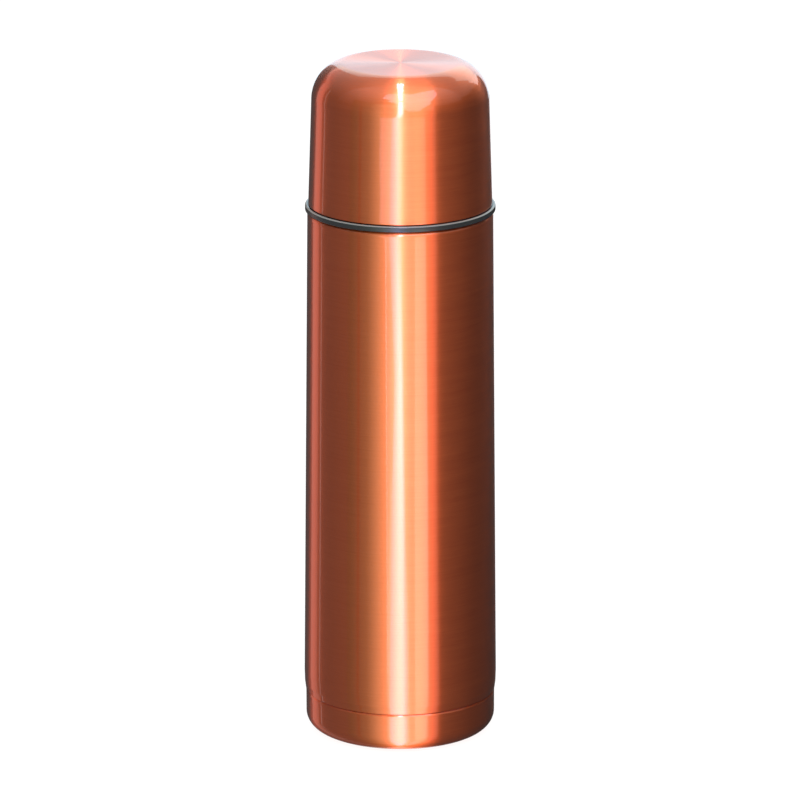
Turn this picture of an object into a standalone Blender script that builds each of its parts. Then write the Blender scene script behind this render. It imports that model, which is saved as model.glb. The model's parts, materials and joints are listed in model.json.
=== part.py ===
"""Vacuum flask with a screw-on cup and a push-button stopper.

The flask stands on z = 0 and its axis is the Z axis. Lengths are written in millimetres and are turned
into metres when a mesh is made. A turned piece is a closed outline of (radius, height) points, revolved
about the Z axis. Its first and last points are joined, and an outline that starts and ends on the axis
makes a solid piece. A radius that depends on angle and height is written as a function: that is how
threads and grips are made.
"""

import math

import bmesh
import bpy
from mathutils import Matrix, Vector

MM = 0.001
GAP = 0.3            # clearance left between neighbouring pieces
RIM_GAP = 0.12       # finer clearance between the ring and the cup's rim

# Driving dimensions of the whole flask
HEIGHT = 248.5
BODY_RADIUS_LOW = 35.0
BODY_RADIUS_HIGH = 33.4
SEAM_HEIGHT = 14.5
SHOULDER_HEIGHT = 194.4
RING_RADIUS = 34.2
RING_THICKNESS = 2.2
CUP_RADIUS_RIM = 33.06
CUP_RADIUS_HIGH = 31.86
CUP_DOME_HEIGHT = 13.3
CUP_DOME_REACH = 11.8
FOOT_RADIUS = 34.4
FOOT_CORNER = 5.6

# Walls
STEEL = 0.5
THIN_STEEL = 0.45
LINER_WALL = 1.3
LINER_AIR = 0.45     # between the cup's steel and its liner

# Threads: right-handed, three starts, the same lead on the cup and on the stopper
THREAD_STARTS = 3
THREAD_PITCH = 4.0
THREAD_LEAD = THREAD_STARTS * THREAD_PITCH
THREAD_GAP = 0.6
CUP_THREAD_ROOT = 28.9
CUP_THREAD_DEPTH = 1.1
STOPPER_THREAD_ROOT = 22.0
STOPPER_THREAD_DEPTH = 1.0

# Heights worked out from them
RING_BOTTOM = SHOULDER_HEIGHT + GAP
RING_TOP = RING_BOTTOM + RING_THICKNESS
CUP_BOTTOM = RING_TOP + RIM_GAP
MOUTH = 214.5
NECK_RADIUS = 25.4
BORE_RADIUS = STOPPER_THREAD_ROOT + STOPPER_THREAD_DEPTH + THREAD_GAP

FINE = 40            # sides of the visible round pieces
MEDIUM = 32          # sides of the hidden ones
COARSE = 16          # sides of the small ones

COPPER_LACQUER = dict(color=(0.92, 0.17, 0.04), metallic=1.0, roughness=0.28)
BARE_STEEL = dict(color=(0.62, 0.61, 0.59), metallic=1.0, roughness=0.32)
DARK_PLASTIC = dict(color=(0.02, 0.022, 0.023), metallic=0.0, roughness=0.42)
GREY_PLASTIC = dict(color=(0.16, 0.165, 0.17), metallic=0.0, roughness=0.5)
SILICONE = dict(color=(0.72, 0.71, 0.68), metallic=0.0, roughness=0.6)
SPRING_STEEL = dict(color=(0.5, 0.5, 0.52), metallic=1.0, roughness=0.25)
FOIL = dict(color=(0.9, 0.55, 0.4), metallic=1.0, roughness=0.15)
GETTER_GREY = dict(color=(0.2, 0.2, 0.21), metallic=0.3, roughness=0.8)
SOLDER = dict(color=(0.55, 0.56, 0.58), metallic=1.0, roughness=0.45)


def clear_scene():
    for obj in list(bpy.data.objects):
        bpy.data.objects.remove(obj, do_unlink=True)


def material(name, color, metallic, roughness):
    """A Principled material, made once and shared by the pieces that name it."""
    found = bpy.data.materials.get(name)
    if found:
        return found
    made = bpy.data.materials.new(name)
    made.use_nodes = True
    shader = made.node_tree.nodes["Principled BSDF"]
    shader.inputs["Base Color"].default_value = (*color, 1.0)
    shader.inputs["Metallic"].default_value = metallic
    shader.inputs["Roughness"].default_value = roughness
    return made


def place(name, mesh, finish, finish_name, group, location=(0.0, 0.0, 0.0)):
    """Add a mesh to the scene as a named object under a group's empty."""
    obj = bpy.data.objects.new(name, mesh)
    bpy.context.collection.objects.link(obj)
    mesh.materials.append(material(finish_name, **finish))
    mesh.shade_smooth()
    mesh.set_sharp_from_angle(angle=math.radians(35))
    obj.parent = group
    obj.location = Vector(location) * MM
    return obj


def group_empty(name, parent=None):
    """An empty on the flask's axis: everything under it moves together."""
    empty = bpy.data.objects.new(name, None)
    empty.empty_display_size = 0.02
    bpy.context.collection.objects.link(empty)
    empty.parent = parent
    return empty


def turned(name, outline, sides):
    """Revolve a closed outline about Z. Points on the axis become one shared vertex."""
    mesh = bpy.data.meshes.new(name)
    bm = bmesh.new()
    rings = []
    for radius, height in outline:
        if radius == 0:
            rings.append([bm.verts.new((0, 0, height * MM))] * sides)
            continue
        ring = []
        for step in range(sides):
            angle = 2 * math.pi * step / sides
            r = radius(angle, height) if callable(radius) else radius
            ring.append(bm.verts.new((r * math.cos(angle) * MM, r * math.sin(angle) * MM, height * MM)))
        rings.append(ring)
    for lower, upper in zip(rings, rings[1:] + rings[:1]):
        for step in range(sides):
            after = (step + 1) % sides
            corners = [lower[step], lower[after], upper[after], upper[step]]
            unique = list(dict.fromkeys(corners))
            if len(unique) > 2:
                bm.faces.new(unique)
    bmesh.ops.recalc_face_normals(bm, faces=bm.faces)
    bm.to_mesh(mesh)
    bm.free()
    return mesh


def arc(centre, reach, rise, start, end, steps):
    """Points on an elliptical arc, from start to end in degrees (0 is outward, 90 is up)."""
    points = []
    for step in range(steps + 1):
        angle = math.radians(start + (end - start) * step / steps)
        points.append((centre[0] + reach * math.cos(angle), centre[1] + rise * math.sin(angle)))
    return points


def heights(low, high, spacing):
    """Evenly spaced heights from low to high."""
    count = max(1, round((high - low) / spacing))
    return [low + (high - low) * step / count for step in range(count + 1)]


def fade(height, low, high, ramp=1.6):
    """1 between low and high, falling smoothly to 0 over the ramp inside each end."""
    edge = min(height - low, high - height) / ramp
    edge = min(max(edge, 0.0), 1.0)
    return edge * edge * (3 - 2 * edge)


def thread_wave(angle, height):
    """0 at a thread's root and 1 at its crest, for a right-handed thread with several starts."""
    turns = (height - THREAD_LEAD * angle / (2 * math.pi)) / THREAD_PITCH
    return 0.5 + 0.5 * math.cos(2 * math.pi * turns)


def male_thread(root, depth, low, high):
    """Radius of an external thread that runs out to the plain root at both ends."""
    return lambda angle, height: root + depth * thread_wave(angle, height) * fade(height, low, high)


def female_thread(root, depth, low, high, extra=0.0):
    """Radius of the internal thread that fits it, which runs out to the plain bore at both ends."""
    bore = root + THREAD_GAP + depth + extra
    return lambda angle, height: bore - depth * (1 - thread_wave(angle, height)) * fade(height, low, high)


def cut_with(obj, cutter):
    """Subtract a cutter from an object and leave the cutter as a hidden guide."""
    cutter.hide_render = True
    cutter.display_type = "WIRE"
    cut = obj.modifiers.new(cutter.name, "BOOLEAN")
    cut.operation = "DIFFERENCE"
    cut.object = cutter


def turn_about(axis, degrees):
    return Matrix.Rotation(math.radians(degrees), 3, axis)


def holes_cutter(name, count, radius, reach, height, length, radial, group):
    """Round cutters spread round the axis: radial ones look outward, the others stand upright."""
    mesh = bpy.data.meshes.new(name)
    bm = bmesh.new()
    for step in range(count):
        made = bmesh.ops.create_cone(bm, cap_ends=True, segments=12, radius1=radius * MM,
                                     radius2=radius * MM, depth=length * MM)
        if radial:
            bmesh.ops.rotate(bm, verts=made["verts"], cent=(0, 0, 0), matrix=turn_about("Y", 90))
        bmesh.ops.translate(bm, verts=made["verts"], vec=(reach * MM, 0, height * MM))
        bmesh.ops.rotate(bm, verts=made["verts"], cent=(0, 0, 0), matrix=turn_about("Z", 360 * step / count))
    bm.to_mesh(mesh)
    bm.free()
    obj = bpy.data.objects.new(name, mesh)
    bpy.context.collection.objects.link(obj)
    obj.parent = group
    return obj


# ---------------------------------------------------------------- the flask itself

CENTRE_RISE = 1.4                  # how far the base cap's centre stands clear of the table
SWELL_HEIGHT = SEAM_HEIGHT + 7     # where the body tube is widest; from here it narrows up to the shoulder


def build_base_cap(group):
    """Pressed cap: flat foot ring, raised centre, and a lip that steps inside the body tube."""
    lip = SEAM_HEIGHT + 4
    lip_radius = FOOT_RADIUS - 0.7
    outside = [(lip_radius, lip), (lip_radius, SEAM_HEIGHT), (FOOT_RADIUS, SEAM_HEIGHT - 0.4)]
    outside += arc((FOOT_RADIUS - FOOT_CORNER, FOOT_CORNER), FOOT_CORNER, FOOT_CORNER, 0, -90, 4)
    outside += [(22.0, 0.0), (20.5, CENTRE_RISE), (0, CENTRE_RISE)]
    inside = [(0, CENTRE_RISE + STEEL), (20.2, CENTRE_RISE + STEEL), (21.7, STEEL)]
    inner_corner = FOOT_CORNER - STEEL
    inside += arc((FOOT_RADIUS - FOOT_CORNER, FOOT_CORNER), inner_corner, inner_corner, -90, 0, 3)
    inside += [(FOOT_RADIUS - STEEL, SEAM_HEIGHT - 1.6), (lip_radius - STEEL, SEAM_HEIGHT - 0.6)]
    inside += [(lip_radius - STEEL, lip)]
    mesh = turned("base_cap", outside + inside, FINE)
    return place("base_cap", mesh, COPPER_LACQUER, "copper_lacquer", group)


def build_outer_shell(group):
    """Tapering tube with a rounded shoulder under the rim ring and a plain neck up to the mouth."""
    low = SEAM_HEIGHT + GAP
    low_radius = BODY_RADIUS_LOW - 0.45
    corner = 1.5
    edge = BODY_RADIUS_HIGH
    neck_top = MOUTH - STEEL - GAP
    outside = [(low_radius, low), (BODY_RADIUS_LOW - 0.12, low + 2.6)]
    outside += [(BODY_RADIUS_LOW, SWELL_HEIGHT), (edge, SHOULDER_HEIGHT - corner)]
    outside += arc((edge - corner, SHOULDER_HEIGHT - corner), corner, corner, 0, 90, 3)[1:]
    outside += [(NECK_RADIUS + 1.0, SHOULDER_HEIGHT), (NECK_RADIUS, SHOULDER_HEIGHT + 1.0)]
    outside += [(NECK_RADIUS, neck_top)]
    inside = [(NECK_RADIUS - STEEL, neck_top), (NECK_RADIUS - STEEL, SHOULDER_HEIGHT + 0.6)]
    inside += [(NECK_RADIUS + 0.8, SHOULDER_HEIGHT - STEEL)]
    inside += [(edge - corner, SHOULDER_HEIGHT - STEEL), (edge - STEEL, SHOULDER_HEIGHT - corner)]
    inside += [(BODY_RADIUS_LOW - STEEL, SWELL_HEIGHT), (low_radius - STEEL, low)]
    mesh = turned("outer_shell", outside + inside, FINE)
    return place("outer_shell", mesh, COPPER_LACQUER, "copper_lacquer", group)


END_PLATE = SEAM_HEIGHT + 5.3      # underside of the end plate that closes the vacuum space
VESSEL_RADIUS = 30.2               # outside of the inner vessel
VESSEL_LOW = 30.0                  # lower edge of the inner vessel's wall
VESSEL_SHOULDER = 184.0            # where the inner vessel starts to narrow to its neck


def build_outer_bottom(group):
    """End plate with an upturned flange and a raised dimple round the pump-out hole."""
    rim = BODY_RADIUS_LOW - STEEL - 0.4
    under = [(1.5, END_PLATE + 1.6), (3.4, END_PLATE + 1.6), (4.4, END_PLATE), (rim - 1.2, END_PLATE)]
    under += [(rim, END_PLATE + 1.2), (rim, END_PLATE + 5.3)]
    over = [(rim - STEEL, END_PLATE + 5.3), (rim - STEEL, END_PLATE + 1.5), (rim - 1.5, END_PLATE + STEEL)]
    over += [(4.8, END_PLATE + STEEL), (3.8, END_PLATE + 1.6 + STEEL), (1.5, END_PLATE + 1.6 + STEEL)]
    mesh = turned("outer_bottom", under[::-1] + over[::-1], MEDIUM)
    return place("outer_bottom", mesh, BARE_STEEL, "bare_steel", group)


def build_seal_bead(group):
    """Solder bead in the dimple, over the pump-out hole."""
    dome = arc((0, 1.1), 2.4, 1.1, 0, -90, 3)[:-1]
    mesh = turned("seal_bead", [(0, 1.2), (2.4, 1.2)] + dome + [(0, 0)], COARSE)
    return place("seal_bead", mesh, SOLDER, "solder", group, (0, 0, END_PLATE + 1.6 - 1.2 - GAP))


def build_inner_tube(group):
    """Inner vessel wall: tube, shoulder, neck with a rolled thread, and a lip over the mouth."""
    low, high = 199.5, 210.5
    bore = female_thread(STOPPER_THREAD_ROOT, STOPPER_THREAD_DEPTH, low, high)
    back = female_thread(STOPPER_THREAD_ROOT, STOPPER_THREAD_DEPTH, low, high, THIN_STEEL)
    turns = heights(low, high, 1.1)
    lip = MOUTH - STEEL
    reach = VESSEL_RADIUS - (BORE_RADIUS + THIN_STEEL)
    rise = 8.0
    outside = [(VESSEL_RADIUS, VESSEL_LOW)]
    outside += arc((VESSEL_RADIUS - reach, VESSEL_SHOULDER), reach, rise, 0, 68, 3)
    outside += [(BORE_RADIUS + THIN_STEEL, VESSEL_SHOULDER + rise + 1.0)]
    outside += [(back, height) for height in turns]
    outside += [(BORE_RADIUS + THIN_STEEL, lip), (NECK_RADIUS, lip), (NECK_RADIUS, MOUTH)]
    inside = [(BORE_RADIUS + 0.4, MOUTH), (BORE_RADIUS, MOUTH - 0.4)]
    inside += [(bore, height) for height in reversed(turns)]
    inside += [(BORE_RADIUS, VESSEL_SHOULDER + rise + 1.0)]
    inside += arc((BORE_RADIUS, VESSEL_SHOULDER), reach, rise - THIN_STEEL, 68, 0, 3)
    inside += [(VESSEL_RADIUS - THIN_STEEL, VESSEL_LOW)]
    mesh = turned("inner_tube", outside + inside, MEDIUM)
    return place("inner_tube", mesh, BARE_STEEL, "bare_steel", group)


def build_inner_bottom(group):
    """Dished floor whose upturned flange is welded inside the vessel's wall."""
    rim = VESSEL_RADIUS - THIN_STEEL - GAP
    under = [(0, VESSEL_LOW - 2.6), (16.0, VESSEL_LOW - 1.7), (rim - 1.6, VESSEL_LOW + 0.4)]
    under += [(rim, VESSEL_LOW + 1.8), (rim, VESSEL_LOW + 5.0)]
    over = [(rim - THIN_STEEL, VESSEL_LOW + 5.0), (rim - THIN_STEEL, VESSEL_LOW + 2.1)]
    over += [(rim - 1.9, VESSEL_LOW + 0.95), (16.0, VESSEL_LOW - 1.15), (0, VESSEL_LOW - 2.05)]
    mesh = turned("inner_bottom", under + over, MEDIUM)
    return place("inner_bottom", mesh, BARE_STEEL, "bare_steel", group)


def build_radiation_foil(group):
    """Thin foil sleeve round the inner vessel, inside the vacuum space."""
    inner = VESSEL_RADIUS + GAP
    outer = inner + 0.2
    mesh = turned("radiation_foil", [(inner, 36.0), (outer, 36.0), (outer, 180.0), (inner, 180.0)], MEDIUM)
    return place("radiation_foil", mesh, FOIL, "foil", group)


def build_getter(group):
    """Round getter pellet on the end plate, and the spring strip that bridges it."""
    seat = END_PLATE + STEEL + GAP
    radius, thickness, offset = 3.4, 2.0, 16.0
    pellet = turned("getter_pellet", [(0, 0), (radius - 0.3, 0), (radius, 0.3), (radius, thickness),
                                      (0, thickness)], COARSE)
    place("getter_pellet", pellet, GETTER_GREY, "getter", group, (offset, 0, seat))

    strip, width = 0.35, 3.0
    top = thickness + GAP
    path = [(-6.5, 0), (-radius - 0.8, 0), (-radius - 0.5, top), (radius + 0.5, top), (radius + 0.8, 0), (6.5, 0)]
    mesh = bpy.data.meshes.new("getter_clip")
    bm = bmesh.new()
    loop = [bm.verts.new((x * MM, -width / 2 * MM, z * MM)) for x, z in path]
    loop += [bm.verts.new((x * MM, -width / 2 * MM, (z + strip) * MM)) for x, z in reversed(path)]
    face = bm.faces.new(loop)
    grown = bmesh.ops.extrude_face_region(bm, geom=[face])
    moved = [item for item in grown["geom"] if isinstance(item, bmesh.types.BMVert)]
    bmesh.ops.translate(bm, verts=moved, vec=(0, width * MM, 0))
    bmesh.ops.recalc_face_normals(bm, faces=bm.faces)
    bm.to_mesh(mesh)
    bm.free()
    place("getter_clip", mesh, SPRING_STEEL, "spring_steel", group, (offset, 0, seat))


def build_neck_collar(group):
    """Plastic sleeve on the steel neck, with the external thread that the cup screws on to."""
    low, high = 199.0, 211.0
    inner = NECK_RADIUS + 0.4
    top = MOUTH - 0.3
    thread = male_thread(CUP_THREAD_ROOT, CUP_THREAD_DEPTH, low, high)
    outside = [(inner + 0.9, RING_BOTTOM), (CUP_THREAD_ROOT + 0.6, RING_BOTTOM)]
    outside += [(CUP_THREAD_ROOT + 0.6, RING_BOTTOM + 2.2), (CUP_THREAD_ROOT, RING_BOTTOM + 2.8)]
    outside += [(thread, height) for height in heights(low, high, 1.1)]
    outside += [(CUP_THREAD_ROOT - 0.8, top)]
    inside = [(inner, top), (inner, RING_BOTTOM + 0.9)]
    mesh = turned("neck_collar", outside + inside, MEDIUM)
    return place("neck_collar", mesh, DARK_PLASTIC, "dark_plastic", group)


# ---------------------------------------------------------------- the stopper

FLANGE_LOW = MOUTH + 2.1           # underside of the stopper's flange
DRUM_RADIUS = 24.2
DRUM_TOP = 226.0
STOPPER_LOW = 197.0                # the valve's seat
WEB_LOW = 203.0
WEB_TOP = 204.5
SEAT_RADIUS = 8.0
STEM_RADIUS = 2.0
BUTTON_RADIUS = 11.0
BUTTON_TOP = 232.0
BUTTON_RECESS = 226.2              # roof of the recess that the spring pushes on


def build_stopper_gasket(group):
    """Flat silicone ring squeezed between the mouth's lip and the stopper's flange."""
    low, high = MOUTH + GAP, FLANGE_LOW - GAP
    middle = (low + high) / 2
    outline = [(22.5, low), (25.6, low), (26.0, middle), (25.6, high), (22.5, high)]
    mesh = turned("stopper_gasket", outline, MEDIUM)
    return place("stopper_gasket", mesh, SILICONE, "silicone", group)


def build_stopper_body(group):
    """Threaded plug, flange and drum, hollow for the liquid, with a guide web across the passage."""
    low, high = 199.8, 210.8
    thread = male_thread(STOPPER_THREAD_ROOT, STOPPER_THREAD_DEPTH, low, high)
    outside = [(SEAT_RADIUS, STOPPER_LOW), (19.6, STOPPER_LOW), (21.4, STOPPER_LOW + 1.8)]
    outside += [(thread, height) for height in heights(low, high, 1.1)]
    outside += [(STOPPER_THREAD_ROOT, FLANGE_LOW), (26.4, FLANGE_LOW), (26.8, FLANGE_LOW + 0.6)]
    outside += [(26.4, FLANGE_LOW + 1.4), (DRUM_RADIUS, FLANGE_LOW + 2.0), (DRUM_RADIUS, DRUM_TOP)]
    inside = [(20.4, DRUM_TOP), (20.4, 219.0), (17.0, 216.8), (17.0, WEB_TOP), (STEM_RADIUS + 0.4, WEB_TOP)]
    inside += [(STEM_RADIUS + 0.4, WEB_LOW), (13.5, WEB_LOW), (13.5, 200.2), (SEAT_RADIUS, 198.4)]
    mesh = turned("stopper_body", outside + inside, MEDIUM)
    body = place("stopper_body", mesh, GREY_PLASTIC, "grey_plastic", group)
    cut_with(body, holes_cutter("web_holes", 6, 2.2, 9.6, WEB_LOW, 6.0, False, group))
    cut_with(body, holes_cutter("pour_windows", 4, 1.9, DRUM_RADIUS, 222.2, 14.0, True, group))
    return body


def build_stopper_cover(group):
    """Grip ring that caps the drum, with the sleeve that guides the button."""
    sleeve = BUTTON_RADIUS + 0.4

    def lobed(radius):
        return lambda angle, height: radius + 0.35 * math.cos(12 * angle)

    top = 228.9
    outline = [(sleeve, 219.7), (sleeve + 1.5, 219.7), (sleeve + 1.5, DRUM_TOP + GAP)]
    outline += [(DRUM_RADIUS + GAP, DRUM_TOP + GAP), (DRUM_RADIUS + GAP, 224.8), (lobed(26.1), 224.8)]
    outline += [(lobed(26.1), top - 1.0), (lobed(25.1), top), (sleeve + 0.9, top), (sleeve, top - 0.9)]
    mesh = turned("stopper_cover", outline, FINE)
    return place("stopper_cover", mesh, DARK_PLASTIC, "dark_plastic", group)


def build_push_button(group):
    """Domed button with a stop flange below its guide, a recess for the spring and a stem socket."""
    outline = [(12.7, 217.6), (12.7, 219.3), (BUTTON_RADIUS, 219.3), (BUTTON_RADIUS, BUTTON_TOP - 1.6)]
    outline += [(BUTTON_RADIUS - 0.5, BUTTON_TOP - 0.8), (BUTTON_RADIUS - 1.4, BUTTON_TOP - 0.4), (0, BUTTON_TOP)]
    socket = STEM_RADIUS + GAP
    outline += [(0, BUTTON_RECESS), (socket, BUTTON_RECESS), (socket, 219.5), (4.2, 219.5)]
    outline += [(4.2, BUTTON_RECESS), (9.2, BUTTON_RECESS), (9.2, 217.6)]
    mesh = turned("push_button", outline, MEDIUM)
    return place("push_button", mesh, GREY_PLASTIC, "grey_plastic", group)


def build_valve(group):
    """Stem with a backing flange above the seal, the seal under its seat, and the retainer below."""
    backing = 5.6
    hole = STEM_RADIUS + GAP
    seal_low = 193.4
    stem = [(0, 225.9), (STEM_RADIUS, 225.9), (STEM_RADIUS, 198.2), (backing, 198.0), (backing, 197.0)]
    stem += [(STEM_RADIUS, 197.0), (STEM_RADIUS, 190.6), (3.2, 190.6), (3.2, 189.9), (2.4, 189.3), (0, 189.3)]
    mesh = turned("valve_stem", stem, COARSE)
    place("valve_stem", mesh, DARK_PLASTIC, "dark_plastic", group)
    seal = [(hole, 196.7), (10.6, 196.7), (10.6, 195.4), (6.4, seal_low), (hole, seal_low)]
    mesh = turned("valve_seal", seal, MEDIUM)
    place("valve_seal", mesh, SILICONE, "silicone", group)
    washer = [(hole, seal_low - GAP), (5.2, seal_low - GAP), (5.6, 192.4), (4.6, 190.9), (hole, 190.9)]
    mesh = turned("seal_retainer", washer, COARSE)
    place("seal_retainer", mesh, GREY_PLASTIC, "grey_plastic", group)


def build_button_spring(group):
    """Compression spring from the web up into the button's recess."""
    wire, mean, turns, per_turn = 0.45, 6.6, 7, 12
    low, high = WEB_TOP + GAP + wire, BUTTON_RECESS - GAP - wire
    curve = bpy.data.curves.new("button_spring_path", "CURVE")
    curve.dimensions = "3D"
    curve.bevel_depth = wire * MM
    curve.bevel_resolution = 0
    curve.use_fill_caps = True
    path = curve.splines.new("POLY")
    count = turns * per_turn
    path.points.add(count)
    for step, point in enumerate(path.points):
        share = step / count
        angle = 2 * math.pi * turns * share
        height = low + (high - low) * share
        point.co = (mean * math.cos(angle) * MM, mean * math.sin(angle) * MM, height * MM, 1)
    guide = bpy.data.objects.new("button_spring", curve)
    bpy.context.collection.objects.link(guide)
    curve.materials.append(material("spring_steel", **SPRING_STEEL))
    guide.parent = group
    return guide


# ---------------------------------------------------------------- the cup

def cup_wall(inset, low):
    """Half outline of the cup's wall, a given inset inside its outer surface, from the rim to the axis."""
    spring_line = HEIGHT - CUP_DOME_HEIGHT
    flat = CUP_RADIUS_HIGH - CUP_DOME_REACH
    slope = (CUP_RADIUS_RIM - CUP_RADIUS_HIGH) / (spring_line - CUP_BOTTOM)
    rim = CUP_RADIUS_RIM - (low - CUP_BOTTOM) * slope - inset
    dome = arc((flat, spring_line), CUP_DOME_REACH - inset, CUP_DOME_HEIGHT - inset, 0, 90, 5)
    return [(rim, low)] + dome + [(0, HEIGHT - inset)]


def build_cup_shell(group):
    """Drawn steel cup: tapering side, elliptical shoulder, flat top."""
    mesh = turned("cup_shell", cup_wall(0, CUP_BOTTOM) + cup_wall(STEEL, CUP_BOTTOM)[::-1], FINE)
    return place("cup_shell", mesh, COPPER_LACQUER, "copper_lacquer", group)


def build_cup_liner(group):
    """Plastic inner cup, with the internal thread near its rim."""
    low, high = 198.6, 209.6
    thread = female_thread(CUP_THREAD_ROOT, CUP_THREAD_DEPTH, low, high)
    bore = CUP_THREAD_ROOT + THREAD_GAP + CUP_THREAD_DEPTH
    outer = cup_wall(STEEL + LINER_AIR, CUP_BOTTOM)
    inner = cup_wall(STEEL + LINER_AIR + LINER_WALL, high + 1.6)
    inner = [(bore, CUP_BOTTOM)] + [(thread, height) for height in heights(low, high, 1.1)] + inner
    mesh = turned("cup_liner", outer + inner[::-1], MEDIUM)
    return place("cup_liner", mesh, GREY_PLASTIC, "grey_plastic", group)


def build_rim_ring(group):
    """Ring under the cup's rim, a little proud of both the cup and the body."""
    inner = CUP_THREAD_ROOT + THREAD_GAP + CUP_THREAD_DEPTH
    outline = [(inner, RING_BOTTOM), (RING_RADIUS - 0.3, RING_BOTTOM), (RING_RADIUS, RING_BOTTOM + 0.3)]
    outline += [(RING_RADIUS, RING_TOP - 0.7), (RING_RADIUS - 0.6, RING_TOP), (inner, RING_TOP)]
    mesh = turned("rim_ring", outline, FINE)
    return place("rim_ring", mesh, DARK_PLASTIC, "dark_plastic", group)


clear_scene()

flask = group_empty("flask")
for build in (build_base_cap, build_outer_shell, build_outer_bottom, build_seal_bead, build_inner_tube,
              build_inner_bottom, build_radiation_foil, build_getter, build_neck_collar):
    build(flask)

stopper = group_empty("stopper", flask)
for build in (build_stopper_gasket, build_stopper_body, build_stopper_cover, build_button_spring):
    build(stopper)

button = group_empty("button", stopper)
for build in (build_push_button, build_valve):
    build(button)

cup = group_empty("cup", stopper)
for build in (build_rim_ring, build_cup_shell, build_cup_liner):
    build(cup)
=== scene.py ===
import json
import math

import bmesh
import bpy
from mathutils import Matrix, Vector


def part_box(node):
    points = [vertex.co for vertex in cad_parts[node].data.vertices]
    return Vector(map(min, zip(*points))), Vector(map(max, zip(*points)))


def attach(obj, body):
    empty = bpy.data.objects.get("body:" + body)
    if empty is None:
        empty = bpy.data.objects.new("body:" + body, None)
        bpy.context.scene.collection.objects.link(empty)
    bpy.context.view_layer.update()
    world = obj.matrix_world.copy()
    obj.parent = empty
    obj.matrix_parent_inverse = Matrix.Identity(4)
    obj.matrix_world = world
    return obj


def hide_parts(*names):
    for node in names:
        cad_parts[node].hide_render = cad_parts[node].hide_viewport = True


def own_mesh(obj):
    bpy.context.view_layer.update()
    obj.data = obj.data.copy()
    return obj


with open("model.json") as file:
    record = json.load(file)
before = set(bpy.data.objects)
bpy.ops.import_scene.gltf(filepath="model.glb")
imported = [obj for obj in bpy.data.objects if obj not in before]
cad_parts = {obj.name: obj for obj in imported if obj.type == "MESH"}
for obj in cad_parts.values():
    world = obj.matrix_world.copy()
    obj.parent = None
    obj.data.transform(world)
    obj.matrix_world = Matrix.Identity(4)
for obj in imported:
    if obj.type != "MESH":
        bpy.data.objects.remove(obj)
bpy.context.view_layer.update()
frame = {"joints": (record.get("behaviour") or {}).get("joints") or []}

# ------------------------------------------------------------------------------------------------
# The outer shell: a drawn steel tube, circular-brushed on the lathe and sprayed with a clear
# copper-coloured lacquer. It narrows a little upwards, rounds in under the cup's ring and goes up
# as a plain neck to the mouth, where it is welded to the inner vessel.
# ------------------------------------------------------------------------------------------------

MM = 0.001
ROUND = 256                # sides of a large turned piece
SMALL_ROUND = 96           # sides of a small one
STEEL = 0.5                # thickness of the outer sheet
SPLIT = 0.3                # gap between neighbouring pieces of one body


def reach(node):
    """Lowest height, highest height and outer radius of a CAD node, in millimetres."""
    low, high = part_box(node)
    return low.z / MM, high.z / MM, high.x / MM


def plain(point):
    """An outline point as a vector; on a thread, where it is at angle 0."""
    radius, height = point[:2]
    return Vector((radius(0, height) if callable(radius) else radius, height))


def eased(outline, steps=5, hold=0.4):
    """Rounds the corners of a closed outline: a point is (radius, height) or (radius, height, fillet).

    On a long side next to a rounding a further point keeps the side's shading straight.
    """
    soft = []
    count = len(outline)
    for index, point in enumerate(outline):
        fillet = point[2] if len(point) > 2 else 0
        if not fillet:
            soft.append(point[:2])
            continue
        here = plain(point)
        before = plain(outline[index - 1]) - here
        after = plain(outline[(index + 1) % count]) - here
        half = before.angle(after) / 2
        back = min(fillet / math.tan(half), before.length * 0.49, after.length * 0.49)
        start, end = here + before.normalized() * back, here + after.normalized() * back
        pull = math.sin(half)
        if before.length > 4 * (back + hold):
            soft.append(tuple(start + before.normalized() * hold))
        for step in range(steps + 1):
            share = step / steps
            first, middle, last = (1 - share) ** 2, 2 * share * (1 - share) * pull, share ** 2
            soft.append(tuple((start * first + here * middle + end * last) / (first + middle + last)))
        if after.length > 4 * (back + hold):
            soft.append(tuple(end + after.normalized() * hold))
    return soft


def bow(centre, wide, tall, start, end, steps=14):
    """Points along an elliptical arc; 0 degrees is outward and 90 is up."""
    return [(centre[0] + wide * math.cos(math.radians(start + (end - start) * step / steps)),
             centre[1] + tall * math.sin(math.radians(start + (end - start) * step / steps)))
            for step in range(steps + 1)]


def turned(name, outline, sides=ROUND, at=(0, 0, 0)):
    """A closed outline in millimetres, turned about the flask's axis into one smooth piece."""
    bm = bmesh.new()
    rings = []
    for radius, height in outline:
        if radius == 0:
            rings.append([bm.verts.new((at[0] * MM, at[1] * MM, (height + at[2]) * MM))] * sides)
            continue
        ring = []
        for step in range(sides):
            angle = 2 * math.pi * step / sides
            r = radius(angle, height) if callable(radius) else radius
            ring.append(bm.verts.new(((at[0] + r * math.cos(angle)) * MM, (at[1] + r * math.sin(angle)) * MM,
                                      (at[2] + height) * MM)))
        rings.append(ring)
    for lower, upper in zip(rings, rings[1:] + rings[:1]):
        for step in range(sides):
            after = (step + 1) % sides
            corners = list(dict.fromkeys([lower[step], lower[after], upper[after], upper[step]]))
            if len(corners) > 2:
                bm.faces.new(corners)
    bmesh.ops.recalc_face_normals(bm, faces=bm.faces)
    return finished(name, bm)


def finished(name, bm, crease=32):
    """Turns a bmesh into a smooth-shaded piece in the scene."""
    mesh = bpy.data.meshes.new(name)
    bm.to_mesh(mesh)
    bm.free()
    mesh.shade_smooth()
    mesh.set_sharp_from_angle(angle=math.radians(crease))
    piece = bpy.data.objects.new(name, mesh)
    bpy.context.scene.collection.objects.link(piece)
    return piece


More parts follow.
